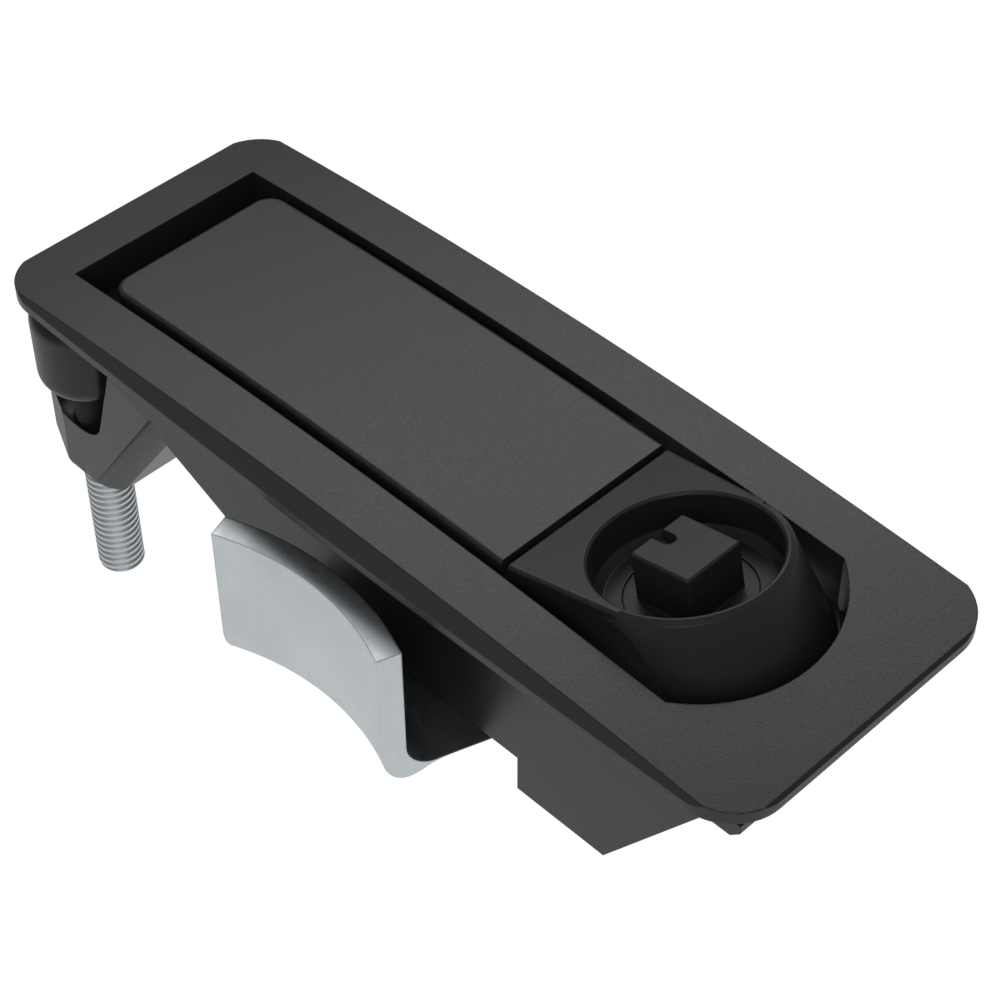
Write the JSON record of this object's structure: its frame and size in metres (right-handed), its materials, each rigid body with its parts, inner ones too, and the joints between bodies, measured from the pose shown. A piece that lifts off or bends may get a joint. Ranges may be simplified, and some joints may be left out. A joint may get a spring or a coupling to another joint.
{
  "type": "lever compression latch",
  "caption": "Flush lever compression latch: bowed metal pawl under a black flange, keyed square driver at one end, clamp screws at the other.",
  "frame": {"origin": "middle of the flange's underside, the face that lies on the panel", "axes": "+X along the flange towards the lock, +Y across it away from the pawl, +Z out of the panel towards the user"},
  "size_m": [0.118, 0.047, 0.058],
  "materials": {
    "housing_black": "fine even grain, satin",
    "lever_black": "fine even grain, satin",
    "lock_black": "fine even grain, satin",
    "core_black": "black plated metal, satin",
    "head_black": "smooth moulded, satin",
    "zinc_thread": "blue-white zinc plate on a rolled thread",
    "zinc_plate": "blue-white zinc plate, smooth",
    "zinc_small": "zinc plate",
    "cast_grey": "plain die-cast metal, dull grey",
    "seal_rubber": "soft black rubber",
    "spring_steel": "bright spring wire"
  },
  "bodies": {
    "housing": {"bezel_housing": "housing_black", "lock_housing": "lock_black", "lock_housing_screws": "zinc_small", "hinge_pin": "zinc_small", "hinge_pin_clips": "zinc_small"},
    "lever": {"lever": "lever_black", "crank_pin": "zinc_small", "lever_spring": "spring_steel"},
    "carriage": {"carriage": "cast_grey", "pawl": "zinc_plate", "pawl_washers": "zinc_small", "pawl_screws": "zinc_small"},
    "lock_core": {"lock_core": "core_black", "core_seal": "seal_rubber", "core_clip": "zinc_small", "lock_tongue": "zinc_plate", "tongue_washer": "zinc_small", "tongue_screw": "zinc_small"},
    "near_clamp": {"near_clamp_screw": "zinc_thread", "near_clamp_head": "head_black"},
    "far_clamp": {"far_clamp_screw": "zinc_thread", "far_clamp_head": "head_black"}
  },
  "joints": [
    {"name": "lever_hinge", "type": "hinge", "parent": "housing", "child": "lever", "pos_m": [0.0085, 0, -0.0019], "axis": [0, 1, 0], "range_deg": [0, 80]},
    {"name": "carriage_slide", "type": "slide", "parent": "housing", "child": "carriage", "axis": [0, 0.5715, -0.8206], "range_m": [0, 0.00735]},
    {"name": "lock_turn", "type": "hinge", "parent": "housing", "child": "lock_core", "pos_m": [0.032, 0, 0.0062], "axis": [-0.2079, 0, 0.9781], "range_deg": [0, 90]},
    {"name": "near_clamp_screw_travel", "type": "slide", "parent": "housing", "child": "near_clamp", "axis": [0, 0, 1], "range_m": [-0.003, 0.0004]},
    {"name": "far_clamp_screw_travel", "type": "slide", "parent": "housing", "child": "far_clamp", "axis": [0, 0, 1], "range_m": [-0.003, 0.0004]}
  ],
  "couplings": [
    {"joint": "lever_hinge", "follows": "carriage_slide", "rad_per_m": 190}
  ]
}
